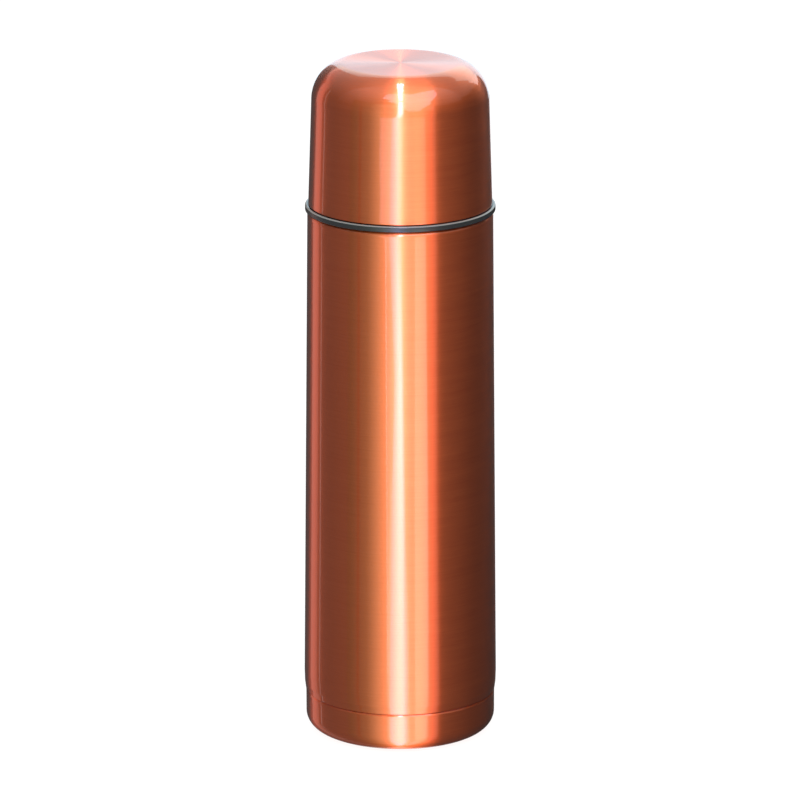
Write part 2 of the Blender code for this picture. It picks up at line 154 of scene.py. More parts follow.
def fit(piece, body, slot, look, *nodes):
    """Hangs a piece on its body in place of its CAD nodes, with its finish."""
    piece.data.materials.clear()
    piece.data.materials.append(look)
    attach(piece, body)
    if nodes:
        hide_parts(*nodes)
    return piece


class Wire:
    """One output of a shader node. Arithmetic on it adds the Math nodes that do it."""

    def __init__(self, finish, socket):
        self.finish, self.socket = finish, socket

    def _math(self, operation, *terms):
        return self.finish.node("ShaderNodeMath", {"operation": operation}, dict(enumerate(terms)))

    def __add__(self, other):
        return self._math("ADD", self, other)

    def __sub__(self, other):
        return self._math("SUBTRACT", self, other)

    def __mul__(self, other):
        return self._math("MULTIPLY", self, other)

    def __gt__(self, other):
        return self._math("GREATER_THAN", self, other)

    __radd__ = __add__

    def clamp(self):
        return self.finish.node("ShaderNodeClamp", {}, {"Value": self})


class Finish:
    """A surface finish: a Principled shader whose sockets take numbers, colours or wires."""

    def __init__(self, name):
        self.material = bpy.data.materials.new(name)
        self.material.use_nodes = True
        self.tree = self.material.node_tree
        self.shader = self.tree.nodes["Principled BSDF"]
        self.place = self.node("ShaderNodeTexCoord", output="Object")

    def plug(self, socket, value):
        if isinstance(value, Wire):
            self.tree.links.new(value.socket, socket)
        elif isinstance(value, tuple) and len(value) == 3 and socket.type == "RGBA":
            socket.default_value = (*value, 1)
        else:
            socket.default_value = value

    def node(self, kind, settings=None, inputs=None, output=0):
        made = self.tree.nodes.new(kind)
        for key, value in (settings or {}).items():
            setattr(made, key, value)
        for key, value in (inputs or {}).items():
            self.plug(made.inputs[key], value)
        return Wire(self, made.outputs[output])

    def grain(self, across, along=None, detail=3.0, roughness=0.55):
        """Noise between 0 and 1, with so many cells to the metre across X and Y, and along Z."""
        cells = (across, across, along or across)
        stretched = self.node("ShaderNodeMapping", {}, {"Vector": self.place, "Scale": cells})
        settings = {"Vector": stretched, "Scale": 1.0, "Detail": detail, "Roughness": roughness}
        return self.node("ShaderNodeTexNoise", {}, settings)

    def blend(self, share, first, second):
        """A colour between two others."""
        return self.node("ShaderNodeMix", {"data_type": "RGBA"}, {0: share, 6: first, 7: second}, output=2)

    def bump(self, height, depth_mm, strength=1.0):
        relief = {"Height": height, "Distance": depth_mm * MM, "Strength": strength}
        return self.node("ShaderNodeBump", {}, relief)

    def done(self, **sockets):
        for name, value in sockets.items():
            self.plug(self.shader.inputs[name.replace("_", " ")], value)
        return self.material


def copper_lacquer():
    """Fine lathe lines run round the piece in the steel; the lacquer over them is smooth and glossy."""
    finish = Finish("copper_lacquer")
    lines = finish.grain(60, 1700, detail=4.0, roughness=0.75)
    bands = finish.grain(5, 260, detail=2.0)
    cloud = finish.grain(28, detail=2.0)
    streak = (lines - 0.5) * 0.9 + (bands - 0.5) * 0.3 + 0.5
    tone = finish.blend((streak * 0.8 + cloud * 0.2).clamp(), (0.80, 0.115, 0.022), (1.0, 0.212, 0.060))
    relief = finish.bump(lines, 0.018, 0.7)
    return finish.done(Base_Color=tone, Metallic=1.0, Roughness=(0.35 + (streak - 0.5) * 0.30).clamp(),
                       Anisotropic=1.0, Anisotropic_Rotation=0.25, Normal=relief,
                       Coat_Weight=1.0, Coat_Roughness=0.06, Coat_IOR=1.6)


copper = copper_lacquer()

seam, neck_top, body_radius = reach("outer_shell")
ring_low, ring_high, ring_radius = reach("rim_ring")
shoulder = ring_low - SPLIT
shoulder_radius = ring_radius - 0.8
swell = seam + 6.7                     # height of the widest place, just above the foot
neck_radius = 25.4

shell_outside = [(body_radius - 0.45, seam, 0.2), (body_radius - 0.12, seam + 2.6, 3.0)]
shell_outside += [(body_radius, swell, 6.0), (shoulder_radius, shoulder, 1.5)]
shell_outside += [(neck_radius, shoulder, 0.9), (neck_radius, neck_top, 0.1)]
shell_inside = [(neck_radius - STEEL, neck_top, 0.1), (neck_radius - STEEL, shoulder - STEEL, 0.9)]
shell_inside += [(shoulder_radius - STEEL, shoulder - STEEL, 1.0), (body_radius - STEEL, swell, 6.0)]
shell_inside += [(body_radius - 0.45 - STEEL, seam, 0.1)]
outer_shell = turned("outer_shell_fine", eased(shell_outside + shell_inside, 8))
fit(outer_shell, "flask", "copper_lacquer", copper, "outer_shell")

# ------------------------------------------------------------------------------------------------
# The base cap: a pressed steel cap with the same brushed and lacquered finish. Its lip is glued
# inside the shell, so only a fine seam shows. The flask stands on the flat ring round its centre.
# ------------------------------------------------------------------------------------------------

foot, lip_top, foot_radius = reach("base_cap")
foot_corner = 6.0
lip_radius = foot_radius - 0.7
seat_radius = 22.0                     # inner edge of the ring that the flask stands on
raised = 1.4

cap_outside = [(lip_radius, lip_top, 0.1), (lip_radius, seam - SPLIT)]
cap_outside += [(foot_radius - 0.35, seam - SPLIT, 0.1), (foot_radius, seam - SPLIT - 0.6, 0.25)]
cap_outside += [(foot_radius, foot, foot_corner), (seat_radius, foot, 0.8), (seat_radius - 1.5, raised, 0.8)]
cap_inside = [(seat_radius - 1.8, raised + STEEL, 0.6), (seat_radius - 0.3, foot + STEEL, 0.6)]
cap_inside += [(foot_radius - STEEL, foot + STEEL, foot_corner - STEEL)]
cap_inside += [(foot_radius - STEEL, seam - 1.2, 0.5), (lip_radius - STEEL, seam - 0.4, 0.5)]
cap_inside += [(lip_radius - STEEL, lip_top, 0.1)]
cap_centre = [(0, raised), (0, raised + STEEL)]
base_cap = turned("base_cap_fine", eased(cap_outside + cap_centre + cap_inside, 8))
fit(base_cap, "flask", "copper_lacquer", copper, "base_cap")

# ------------------------------------------------------------------------------------------------
# The vacuum space's end plate: stainless sheet with an upturned flange, and a dimple round the hole
# the air is pumped out through. A bead of solder seals the hole.
# ------------------------------------------------------------------------------------------------

THIN_STEEL = 0.45


def satin_steel(name, tint, roughness, lines=2200):
    """Bare sheet or wire: drawn or turned lines, a few brighter and duller patches."""
    finish = Finish(name)
    drawn = finish.grain(26, lines, detail=3.0)
    patch = finish.grain(60, detail=2.0)
    dark = tuple(0.82 * part for part in tint)
    colour = finish.blend((drawn * 0.7 + patch * 0.3).clamp(), dark, tint)
    return finish.done(Base_Color=colour, Metallic=1.0, Roughness=roughness + (patch - 0.5) * 0.12,
                       Anisotropic=0.5, Anisotropic_Rotation=0.25, Normal=finish.bump(drawn, 0.004, 0.4))


steel = satin_steel("bare_steel", (0.66, 0.65, 0.63), 0.30)
solder = satin_steel("solder", (0.60, 0.61, 0.64), 0.42, lines=300)

plate_low, plate_high, plate_radius = reach("outer_bottom")
dimple = plate_low + 1.6
plate_under = [(1.5, dimple, 0.1), (3.4, dimple, 0.5), (4.4, plate_low, 0.5), (plate_radius, plate_low, 1.4)]
plate_under += [(plate_radius, plate_high, 0.15)]
plate_over = [(plate_radius - STEEL, plate_high, 0.15), (plate_radius - STEEL, plate_low + STEEL, 1.0)]
plate_over += [(4.8, plate_low + STEEL, 0.5), (3.8, dimple + STEEL, 0.5), (1.5, dimple + STEEL, 0.1)]
end_plate = turned("outer_bottom_fine", eased(plate_under + plate_over))
fit(end_plate, "flask", "bare_steel", steel, "outer_bottom")

bead_low, bead_high, bead_radius = reach("seal_bead")
bead_dome = bow((0, bead_high - 0.15), bead_radius, bead_high - 0.15 - bead_low, -6, -84, 9)
bead_flat = [(0, bead_high), (bead_radius - 0.1, bead_high)]
bead = turned("seal_bead_fine", bead_flat + bead_dome + [(0, bead_low)], SMALL_ROUND)
fit(bead, "flask", "solder", solder, "seal_bead")

# ------------------------------------------------------------------------------------------------
# The getter: a small disc of pressed powder metal that soaks up the last gas, held on the end plate
# by a bent spring strip that is spot-welded at both feet.
# ------------------------------------------------------------------------------------------------


def powder_metal():
    finish = Finish("getter")
    speckle = finish.grain(3800, detail=4.0, roughness=0.7)
    colour = finish.blend(speckle, (0.10, 0.10, 0.11), (0.34, 0.34, 0.35))
    return finish.done(Base_Color=colour, Metallic=0.4, Roughness=0.55 + speckle * 0.4,
                       Normal=finish.bump(speckle, 0.06))


spring_steel = satin_steel("spring_steel", (0.58, 0.58, 0.60), 0.22, lines=900)

pellet_low, pellet_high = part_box("getter_pellet")
pellet_radius = (pellet_high.x - pellet_low.x) / 2 / MM
pellet_thick = (pellet_high.z - pellet_low.z) / MM
pellet_at = ((pellet_high.x + pellet_low.x) / 2 / MM, 0, pellet_low.z / MM)
disc = [(0, 0), (pellet_radius, 0, 0.3), (pellet_radius, pellet_thick, 0.3), (0, pellet_thick)]
pellet = turned("getter_pellet_fine", eased(disc), SMALL_ROUND, pellet_at)
fit(pellet, "flask", "getter", powder_metal(), "getter_pellet")


def bent_strip(name, path, thick, width, at):
    """A strip of sheet bent along a path of (x, z) points in millimetres."""
    bm = bmesh.new()
    ends = []
    for side in (-width / 2, width / 2):
        under = [bm.verts.new(((at[0] + x) * MM, side * MM, (at[2] + z) * MM)) for x, z in path]
        over = [bm.verts.new(((at[0] + x) * MM, side * MM, (at[2] + z + thick) * MM)) for x, z in path]
        ends.append(under + over[::-1])
    bm.faces.new(ends[0])
    bm.faces.new(ends[1])
    count = len(ends[0])
    for step in range(count):
        after = (step + 1) % count
        bm.faces.new([ends[0][step], ends[0][after], ends[1][after], ends[1][step]])
    bmesh.ops.recalc_face_normals(bm, faces=bm.faces)
    return finished(name, bm)


clip_low, clip_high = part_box("getter_clip")
clip_half = (clip_high.x - clip_low.x) / 2 / MM
clip_width = (clip_high.y - clip_low.y) / MM
strip_thick = 0.33
arch = (clip_high.z - clip_low.z) / MM - strip_thick
clip_path = [(clip_half, 0), (pellet_radius + 0.8, 0, 0.3), (pellet_radius + 0.5, arch, 0.4)]
clip_path += [(-radius_x, *rest) for radius_x, *rest in reversed(clip_path)]
clip_bends = eased(clip_path, 4)
clip = bent_strip("getter_clip_fine", clip_bends, strip_thick, clip_width, pellet_at)
fit(clip, "flask", "spring_steel", spring_steel, "getter_clip")

# ------------------------------------------------------------------------------------------------
# The inner vessel: a stainless tube with a dished floor welded in. Its neck has the stopper's thread
# rolled into it, and its mouth turns out over the shell's neck in a welded lip. A sheet of thin foil
# is wrapped round it in the vacuum space, to send the heat back.
# ------------------------------------------------------------------------------------------------

LEAD = 12.0                            # rise in one turn, the same for both threads
STARTS = 3
THREAD_PLAY = 0.6


def ridge(angle, height):
    """0 at a thread's root and 1 at its crest, with flat crests and roots and sloping flanks."""
    turns = (height - LEAD * angle / (2 * math.pi)) * STARTS / LEAD
    return 0.5 + 0.5 * math.tanh(1.9 * math.cos(2 * math.pi * turns)) / math.tanh(1.9)


def run_out(height, low, high, ramp=1.8):
    """1 along the thread, fading smoothly to 0 at its two ends."""
    edge = min(max(min(height - low, high - height) / ramp, 0.0), 1.0)
    return edge * edge * (3 - 2 * edge)


def thread_outside(root, depth, low, high):
    """Points up a male thread."""
    def radius(angle, height):
        return root + depth * ridge(angle, height) * run_out(height, low, high)
    return [(radius, low + (high - low) * step / 40) for step in range(41)]


def thread_inside(bore, depth, low, high):
    """Points up a female thread that stands in from its bore."""
    def radius(angle, height):
        return bore - depth * (1 - ridge(angle, height)) * run_out(height, low, high)
    return [(radius, low + (high - low) * step / 40) for step in range(41)]


def wrinkled_foil():
    finish = Finish("foil")
    cells = {"Vector": finish.place, "Scale": 110.0}
    crease = finish.node("ShaderNodeTexVoronoi", {"feature": "DISTANCE_TO_EDGE"}, cells)
    ripple = finish.grain(70, detail=3.0)
    colour = finish.blend(ripple, (0.80, 0.46, 0.32), (0.95, 0.62, 0.46))
    return finish.done(Base_Color=colour, Metallic=1.0, Roughness=0.12 + ripple * 0.1,
                       Normal=finish.bump(crease + ripple * 0.6, 0.25))


vessel_low, mouth, vessel_radius = reach("inner_tube")
floor_low, floor_high, floor_radius = reach("inner_bottom")
neck_bore = 23.6
thread_depth = 1.0
thread_low, thread_high = 199.5, 210.5
narrows = 184.0                        # height where the tube starts to close in to the neck
narrowing = 8.0
side_step = vessel_radius - neck_bore - THIN_STEEL

vessel = [(vessel_radius - THIN_STEEL, vessel_low, 0.1), (vessel_radius, vessel_low, 0.1)]
vessel += bow((vessel_radius - side_step, narrows), side_step, narrowing, 0, 78)
vessel += [(neck_bore + THIN_STEEL, narrows + narrowing + 1.2)]
vessel += thread_inside(neck_bore + THIN_STEEL, thread_depth, thread_low, thread_high)
vessel += [(neck_bore + THIN_STEEL, mouth - STEEL, 0.2), (neck_radius, mouth - STEEL, 0.28)]
vessel += [(neck_radius, mouth, 0.28), (neck_bore, mouth, 0.55)]
vessel += thread_inside(neck_bore, thread_depth, thread_low, thread_high)[::-1]
vessel += [(neck_bore, narrows + narrowing + 1.2)]
vessel += bow((neck_bore, narrows), side_step, narrowing - THIN_STEEL, 78, 0)
fit(turned("inner_tube_fine", eased(vessel)), "flask", "bare_steel", steel, "inner_tube")

dish_middle, dish_rise = 16.0, 0.9
dish_edge, dish_turn = floor_radius - 1.6, floor_low + 3.0
flange_turn = floor_low + 4.4
dish = [(0, floor_low), (dish_middle, floor_low + dish_rise, 60.0), (dish_edge, dish_turn, 1.2)]
dish += [(floor_radius, flange_turn, 1.0), (floor_radius, floor_high, 0.1)]
dish += [(floor_radius - THIN_STEEL, floor_high, 0.1), (floor_radius - THIN_STEEL, flange_turn + 0.3, 0.8)]
dish += [(dish_edge - 0.3, dish_turn + THIN_STEEL, 1.2)]
dish += [(dish_middle, floor_low + dish_rise + THIN_STEEL, 60.0)]
dished_floor = turned("inner_bottom_fine", eased(dish + [(0, floor_low + THIN_STEEL)], 8))
fit(dished_floor, "flask", "bare_steel", steel, "inner_bottom")

foil_low, foil_high, foil_radius = reach("radiation_foil")
foil_inner = foil_radius - 0.17


def crumpled(base):
    """A foil radius that dents in by up to a tenth of a millimetre."""
    def radius(angle, height):
        return base - 0.05 - 0.05 * math.sin(9 * angle + height * 0.4) * math.sin(height * 0.35)
    return radius


foil_wall = [(crumpled(foil_radius), foil_low + (foil_high - foil_low) * step / 30) for step in range(31)]
foil_wall += [(foil_inner - 0.02, foil_high), (foil_inner - 0.02, foil_low)]
fit(turned("radiation_foil_fine", foil_wall), "flask", "foil", wrinkled_foil(), "radiation_foil")

# ------------------------------------------------------------------------------------------------
# The neck collar: a moulded polypropylene sleeve, pressed over the steel neck. The three-start
# thread on its outside holds the cup.
# ------------------------------------------------------------------------------------------------


def moulded_plastic(name, tint, roughness, painted_highlight_beyond=None):
    """Injection-moulded polypropylene: a fine spark-eroded texture, faint flow marks, dust-soft gloss.

    Beyond a radius and a height, given in millimetres, it is painted pale as a highlight on a rounded edge.
    """
    finish = Finish(name)
    spark = finish.grain(5200, detail=2.0, roughness=0.6)
    flow = finish.grain(40, 15, detail=2.0)
    light = tuple(min(1.0, 1.3 * part + 0.006) for part in tint)
    colour = finish.blend((flow * 0.6 + spark * 0.4).clamp(), tint, light)
    if painted_highlight_beyond:
        flattened = {0: finish.place, 1: (1, 1, 0)}
        level = finish.node("ShaderNodeVectorMath", {"operation": "MULTIPLY"}, flattened)
        from_axis = finish.node("ShaderNodeVectorMath", {"operation": "LENGTH"}, {0: level}, output=1)
        up = finish.node("ShaderNodeSeparateXYZ", {}, {0: finish.place}, output=2)
        # Painted highlight: past the edge's radius and height the colour turns pale grey, as lit plastic
        # would look.
        painted_highlight_mask = (from_axis > painted_highlight_beyond[0] * MM) * (up > painted_highlight_beyond[1] * MM)
        colour = finish.blend(painted_highlight_mask, colour, (0.26, 0.28, 0.27))
    return finish.done(Base_Color=colour, Roughness=roughness + (spark - 0.5) * 0.15 + (flow - 0.5) * 0.08,
                       Normal=finish.bump(spark, 0.012), IOR=1.49)


# The rim ring's rounded upper edge is painted pale in its colour: a painted highlight.
ring_highlight_edge = (ring_radius - 0.75, ring_high - 0.45)
dark_plastic = moulded_plastic("dark_plastic", (0.018, 0.020, 0.021), 0.24, ring_highlight_edge)
grey_plastic = moulded_plastic("grey_plastic", (0.150, 0.155, 0.160), 0.42)

collar_low, collar_top, collar_radius = reach("neck_collar")
cup_thread_root = 28.9
cup_thread_depth = 1.1
collar_inner = neck_radius + 0.4
collar = [(collar_inner, collar_low + 0.9), (collar_inner + 0.9, collar_low)]
collar += [(cup_thread_root + 0.6, collar_low, 0.2), (cup_thread_root + 0.6, collar_low + 2.2, 0.3)]
collar += [(cup_thread_root, collar_low + 2.8, 0.6)]
collar += thread_outside(cup_thread_root, cup_thread_depth, 199.1, 211.0)
collar += [(cup_thread_root - 0.5, collar_top, 0.8), (collar_inner, collar_top, 0.3)]
fit(turned("neck_collar_fine", eased(collar)), "flask", "dark_plastic", dark_plastic, "neck_collar")

# ------------------------------------------------------------------------------------------------
# The stopper's gasket: a flat silicone ring with a soft bulge, squeezed between the mouth's lip and
# the flange. It is the one piece of the body that rises with the stopper without turning.
# ------------------------------------------------------------------------------------------------


def milky_silicone():
    finish = Finish("silicone")
    haze = finish.grain(90, detail=2.0)
    dust = finish.grain(2400, detail=2.0)
    colour = finish.blend(haze, (0.62, 0.60, 0.56), (0.78, 0.77, 0.73))
    return finish.done(Base_Color=colour, Roughness=0.42 + dust * 0.2, Normal=finish.bump(dust, 0.01),
                       Subsurface_Weight=0.6, Subsurface_Radius=(1.0, 0.8, 0.6),
                       Subsurface_Scale=0.002, IOR=1.41)


silicone = milky_silicone()

gasket_low, gasket_high, gasket_radius = reach("stopper_gasket")
gasket_inner = 22.5
gasket = [(gasket_inner, gasket_low, 0.3), (gasket_radius, gasket_low, 0.7)]
gasket += [(gasket_radius, gasket_high, 0.7), (gasket_inner, gasket_high, 0.3)]
fit(turned("stopper_gasket_fine", eased(gasket, 8)), "gasket", "silicone", silicone, "stopper_gasket")

# ------------------------------------------------------------------------------------------------
# The stopper's body: a moulded plug with the thread, a flange over the gasket and a hollow drum. The
# drink comes up through the valve's seat and the holes in the web, and out of the drum's windows.
# ------------------------------------------------------------------------------------------------


def carve(piece, cutters):
    """Cuts closed meshes out of a piece for good."""
    for cutter in cutters:
        cut = piece.modifiers.new("cut", "BOOLEAN")
        cut.operation, cut.object = "DIFFERENCE", cutter
    bpy.context.view_layer.update()
    carved = bpy.data.meshes.new_from_object(piece.evaluated_get(bpy.context.evaluated_depsgraph_get()))
    piece.modifiers.clear()
    piece.data = carved
    carved.shade_smooth()
    carved.set_sharp_from_angle(angle=math.radians(32))
    for cutter in cutters:
        bpy.data.objects.remove(cutter)


def slot_cutter(width, tall, deep, place):
    """A closed slot with rounded ends, width by tall and deep along X, put in place by a matrix."""
    bm = bmesh.new()
    end = min(width, tall) / 2
    along = max(width - tall, 0) / 2
    ring = []
    for step in range(32):
        angle = 2 * math.pi * step / 32
        side = math.copysign(along, math.cos(angle))
        ring.append((side + end * math.cos(angle), end * math.sin(angle)))
    faces = [[bm.verts.new((x * MM, y * MM, z * MM)) for y, z in ring] for x in (-deep / 2, deep / 2)]
    bm.faces.new(faces[0])
    bm.faces.new(faces[1])
    for step in range(len(ring)):
        after = (step + 1) % len(ring)
        bm.faces.new([faces[0][step], faces[0][after], faces[1][after], faces[1][step]])
    bmesh.ops.recalc_face_normals(bm, faces=bm.faces)
    bm.transform(place)
    return finished("cutter", bm)


def round_about(count, place):
    """The same place repeated round the flask's axis."""
    return [Matrix.Rotation(2 * math.pi * step / count, 4, "Z") @ place for step in range(count)]


stopper_low, drum_top, flange_radius = reach("stopper_body")
flange_low = mouth + 2.1
drum_radius = 24.2
seat_bore = 8.0
web_low, web_top = 203.0, 204.5
stem_hole = 2.4
plug_root = 22.0

plug = [(seat_bore, stopper_low, 0.4), (19.6, stopper_low, 1.2), (21.4, stopper_low + 1.8, 0.8)]
plug += thread_outside(plug_root, thread_depth, 199.8, 210.8)
plug += [(plug_root, flange_low, 0.4), (flange_radius, flange_low, 0.5)]
plug += [(flange_radius, flange_low + 1.5, 0.6)]
plug += [(drum_radius, flange_low + 2.0, 0.8), (drum_radius, drum_top, 0.4), (20.4, drum_top, 0.3)]
plug += [(20.4, 219.0, 1.5), (17.0, 216.8, 1.5), (17.0, web_top, 1.0), (stem_hole, web_top, 0.2)]
plug += [(stem_hole, web_low, 0.2), (13.5, web_low, 1.0), (13.5, 200.2, 1.0), (seat_bore, 198.4, 0.3)]
stopper_body = turned("stopper_body_fine", eased(plug), 192)
web_hole = Matrix.Translation((9.6 * MM, 0, web_low * MM)) @ Matrix.Rotation(math.pi / 2, 4, "Y")
window = Matrix.Translation((drum_radius * MM, 0, 222.2 * MM))
cutters = [slot_cutter(4.4, 4.4, 6.0, place) for place in round_about(6, web_hole)]
cutters += [slot_cutter(3.8, 3.8, 14.0, place) for place in round_about(4, window)]
carve(stopper_body, cutters)
fit(stopper_body, "stopper", "grey_plastic", grey_plastic, "stopper_body")

# ------------------------------------------------------------------------------------------------
# The stopper's cover: a moulded ring snapped over the drum. Its lobes give the fingers a grip, and
# the sleeve under it guides the button.
# ------------------------------------------------------------------------------------------------

sleeve_low, cover_top, cover_radius = reach("stopper_cover")
sleeve_bore = 11.4
lobe = 0.35
grip_radius = cover_radius - lobe


def lobed(radius):
    return lambda angle, height: radius + lobe * math.cos(12 * angle)


skirt = drum_top - 1.2
cover = [(sleeve_bore, sleeve_low, 0.3), (sleeve_bore + 1.5, sleeve_low, 0.3)]
cover += [(sleeve_bore + 1.5, drum_top + SPLIT, 0.4), (drum_radius + SPLIT, drum_top + SPLIT)]
cover += [(drum_radius + SPLIT, skirt), (lobed(grip_radius - 0.2), skirt), (lobed(grip_radius), skirt + 0.3)]
top_edge = bow((grip_radius - 1.0, cover_top - 1.0), 1.0, 1.0, 0, 90, 6)
cover += [(lobed(edge_radius), height) for edge_radius, height in top_edge]
cover += [(20.0, cover_top, 0.3), (19.6, cover_top - 0.4, 0.3), (14.6, cover_top - 0.4, 0.3)]
cover += [(14.2, cover_top, 0.3), (sleeve_bore, cover_top, 0.9)]
fit(turned("stopper_cover_fine", eased(cover)), "stopper", "dark_plastic", dark_plastic, "stopper_cover")

# ------------------------------------------------------------------------------------------------
# The push button: a moulded cap with a finger dish and a fine raised ring. Its foot is wider than
# its guide, so the spring can't push it out. The stem is pressed into the socket under it.
# ------------------------------------------------------------------------------------------------

button_low, button_top, button_foot = reach("push_button")
button_radius = 11.0
recess = 226.2
socket = 2.3
button = [(button_foot, button_low, 0.3), (button_foot, button_low + 1.7, 0.3)]
button += [(button_radius, button_low + 1.7, 0.2), (button_radius, button_top - 0.35, 1.3)]
button += [(8.4, button_top, 0.6), (7.9, button_top - 0.5, 0.5)]
button += [(0, button_top - 1.1), (0, recess), (socket, recess), (socket, 219.5, 0.2), (4.2, 219.5, 0.3)]
button += [(4.2, recess, 0.4), (9.2, recess, 0.6), (9.2, button_low, 0.3)]
fit(turned("push_button_fine", eased(button, 8), 192), "button", "grey_plastic", grey_plastic, "push_button")

# ------------------------------------------------------------------------------------------------
# The valve: a moulded stem with a backing flange, the silicone seal that it pulls up against the
# stopper's seat, and the washer below, held by the stem's riveted-over end.
# ------------------------------------------------------------------------------------------------

stem_low, stem_top, backing = reach("valve_stem")
seal_low, seal_top, seal_radius = reach("valve_seal")
washer_low, washer_top, washer_radius = reach("seal_retainer")
stem_radius = 2.0
flange = seal_top + SPLIT
stem = [(0, stem_top), (stem_radius, stem_top, 0.5), (stem_radius, flange + 1.2, 0.4)]
stem += [(backing, flange + 1.0, 0.3), (backing, flange, 0.2), (stem_radius, flange)]
stem += [(stem_radius, washer_low - SPLIT)]
stem += [(3.2, washer_low - SPLIT, 0.3), (3.2, stem_low, 0.9), (0, stem_low)]
fit(turned("valve_stem_fine", eased(stem), SMALL_ROUND), "button", "dark_plastic", dark_plastic, "valve_stem")

seal = [(socket, seal_top, 0.1), (seal_radius, seal_top, 0.5), (seal_radius, seal_top - 1.4, 0.6)]
seal += [(6.4, seal_low, 1.6), (socket, seal_low, 0.1)]
fit(turned("valve_seal_fine", eased(seal), SMALL_ROUND), "button", "silicone", silicone, "valve_seal")

washer = [(socket, washer_top, 0.1), (washer_radius, washer_top, 0.4), (washer_radius - 0.8, washer_low, 0.5)]
washer += [(socket, washer_low, 0.2)]
retainer = turned("seal_retainer_fine", eased(washer), SMALL_ROUND)
fit(retainer, "button", "grey_plastic", grey_plastic, "seal_retainer")

# ------------------------------------------------------------------------------------------------
# The button's spring: round spring wire wound into a coil, with its end turns closed up. It stands
# on the stopper's web. How far it would shorten when the button is pressed is worked out, but the
# coil is left at its full length.
# ------------------------------------------------------------------------------------------------

spring_low, spring_high, spring_radius = reach("button_spring")
wire_radius = 0.42
coil_radius = spring_radius - wire_radius - 0.05
TURNS = 7


def coil_height(share):
    """Height along the coil: the first and last turns lie nearly flat."""
    lift = share - math.sin(4 * math.pi * share) / (4 * math.pi) * 0.55
    room = spring_high - spring_low - 2 * wire_radius
    return spring_low + wire_radius + room * (0.55 * (share * share * (3 - 2 * share)) + 0.45 * lift)


def coil_spring(name):
    bm = bmesh.new()
    steps = TURNS * 48
    rings = []
    for step in range(steps + 1):
        share = step / steps
        angle = 2 * math.pi * TURNS * share
        outward = Vector((math.cos(angle), math.sin(angle), 0))
        centre = outward * coil_radius + Vector((0, 0, coil_height(share)))
        section = [(math.cos(math.pi * side / 6), math.sin(math.pi * side / 6)) for side in range(12)]
        rings.append([bm.verts.new((centre + (outward * a + Vector((0, 0, b))) * wire_radius) * MM)
                      for a, b in section])
    for before, after in zip(rings, rings[1:]):
        for side in range(12):
            following = (side + 1) % 12
            bm.faces.new([before[side], before[following], after[following], after[side]])
    bm.faces.new(rings[0])
    bm.faces.new(rings[-1])
    bmesh.ops.recalc_face_normals(bm, faces=bm.faces)
    return finished(name, bm, 50)


spring = fit(coil_spring("button_spring_fine"), "stopper", "spring_steel", spring_steel, "button_spring")
button_travel = next(joint["range_m"][1] for joint in frame["joints"] if joint["name"] == "button_press") / MM
shortened = 1 - button_travel / (spring_high - spring_low)
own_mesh(spring)

# ------------------------------------------------------------------------------------------------
# The rim ring: the dark ring of satin polypropylene under the cup's rim. It stands a little proud of
# the cup and the body; its rounded upper edge catches the light as a thin bright line, and its colour
# is painted pale there as well, a painted highlight.
# ------------------------------------------------------------------------------------------------

ring_bore = 30.6
ring = [(ring_bore, ring_low, 0.2), (ring_radius, ring_low, 0.3), (ring_radius, ring_high - 0.15, 0.7)]
ring += [(ring_bore, ring_high, 0.2)]
fit(turned("rim_ring_fine", eased(ring, 8)), "rim", "dark_plastic", dark_plastic, "rim_ring")

# ------------------------------------------------------------------------------------------------
# The cup: a deep-drawn steel shell, brushed and lacquered like the body, with a polypropylene liner
# glued inside it. The liner carries the thread.
# ------------------------------------------------------------------------------------------------

cup_low, cup_top, cup_radius = reach("cup_shell")
dome_wide, dome_tall = 11.8, 13.3
cup_taper = 1.2                        # how much narrower the side is where the dome begins
liner_wall = 1.3
air = 0.45


def cup_side(inset, low):
    """The cup's outline at an inset from its outside, from a height on its side up to the axis."""
    start = cup_top - dome_tall
    high_radius = cup_radius - cup_taper
    slope = cup_taper / (start - cup_low)
    side = [(cup_radius - (low - cup_low) * slope - inset, low, 0.2)]
    side += [(high_radius + slope / 2 - inset, start - 0.5)]
    dome = bow((high_radius - dome_wide, start), dome_wide - inset, dome_tall - inset, 0, 90, 40)
    return side + dome + [(high_radius - dome_wide - 0.5, cup_top - inset), (0, cup_top - inset)]


cup_shell = turned("cup_shell_fine", eased(cup_side(0, cup_low) + cup_side(STEEL, cup_low)[::-1]))
fit(cup_shell, "cup", "copper_lacquer", copper, "cup_shell")

liner_low, liner_top, liner_radius = reach("cup_liner")
liner_bore = cup_thread_root + THREAD_PLAY + cup_thread_depth
liner_thread = (198.6, 209.6)
liner = cup_side(STEEL + air, liner_low)
inside = [(liner_bore, liner_low, 0.4)] + thread_inside(liner_bore, cup_thread_depth, *liner_thread)
inside += cup_side(STEEL + air + liner_wall, liner_thread[1] + 1.6)
fit(turned("cup_liner_fine", eased(liner + inside[::-1])), "cup", "grey_plastic", grey_plastic, "cup_liner")

# ------------------------------------------------------------------------------------------------
# The studio: a pale floor, a white backdrop behind, and soft panels round the flask and over it.
# They reach below the floor's level, so that the flask's sides show them from top to bottom.
# ------------------------------------------------------------------------------------------------

scene = bpy.context.scene
scene.view_settings.view_transform = "Standard"
scene.view_settings.look = "None"


lamp = Finish("lamp")
lamp_light = lamp.done(
    Base_Color=(0.0, 0.0, 0.0), Roughness=1.0, Specular_IOR_Level=0.0, Emission_Strength=1.0,
    Emission_Color=lamp.node("ShaderNodeAttribute", {"attribute_name": "light"}))


